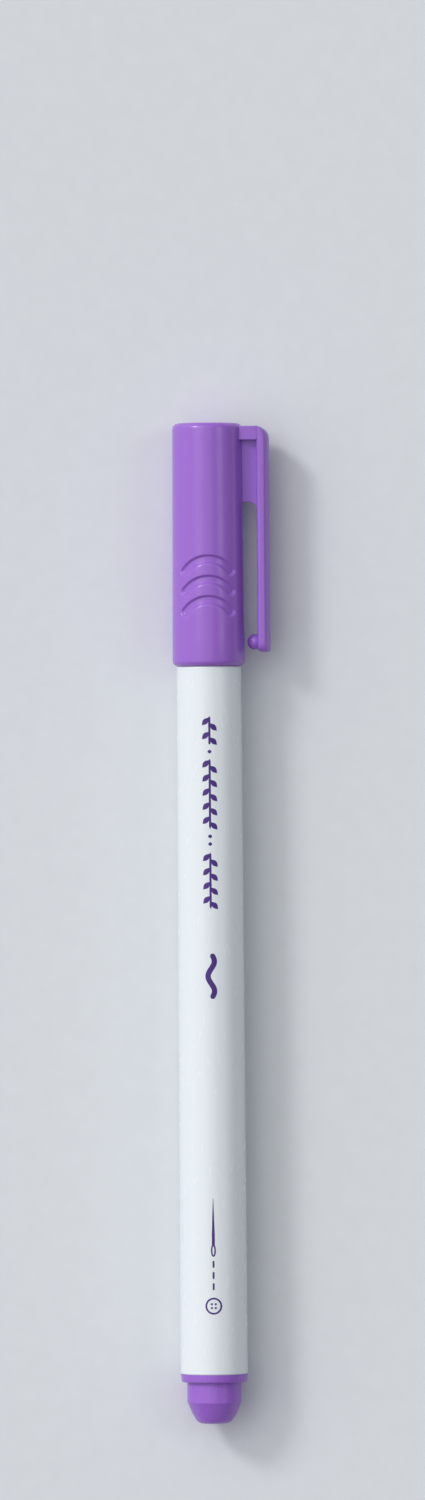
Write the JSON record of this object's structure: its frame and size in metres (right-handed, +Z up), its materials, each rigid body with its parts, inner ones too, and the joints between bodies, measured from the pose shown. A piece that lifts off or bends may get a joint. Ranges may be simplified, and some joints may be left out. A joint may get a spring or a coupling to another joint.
{
  "type": "fabric marking pen",
  "caption": "Slim round marking pen with a clip cap, arched grip recesses, a fibre nib in a stepped ferrule, and a plug at the rear.",
  "frame": {"origin": "centre of the small flat at the pen's rear end, on the pen's axis", "axes": "+Y along the pen's axis to the top of the cap, +X from the axis towards the pocket clip, +Z up as the pen lies flat with its grip recesses facing up and down"},
  "size_m": [0.0154, 0.1562, 0.0114],
  "materials": {
    "cap_plastic": "satin",
    "plug_plastic": "satin",
    "barrel_plastic": "gloss",
    "holder_plastic": "satin",
    "liner_plastic": "satin",
    "nib_fibre": "matte",
    "reservoir_fibre": "matte",
    "film": "gloss"
  },
  "bodies": {
    "barrel": {"barrel": "barrel_plastic", "nib_holder": "holder_plastic", "nib": "nib_fibre", "ink_reservoir": "reservoir_fibre", "reservoir_sleeve": "film", "end_plug": "plug_plastic"},
    "cap": {"cap_shell": "cap_plastic", "inner_cap": "liner_plastic"},
    "clip": {"cap_clip": "cap_plastic"}
  },
  "joints": [
    {"name": "cap_pull", "type": "slide", "parent": "barrel", "child": "cap", "axis": [0, 1, 0], "range_m": [0, 0.03]},
    {"name": "clip_flex", "type": "hinge", "parent": "cap", "child": "clip", "pos_m": [0.0085, 0.1429, 0], "axis": [0, 0, 1], "range_deg": [-1, 5], "stiffness_Nm_per_rad": 0.5}
  ]
}
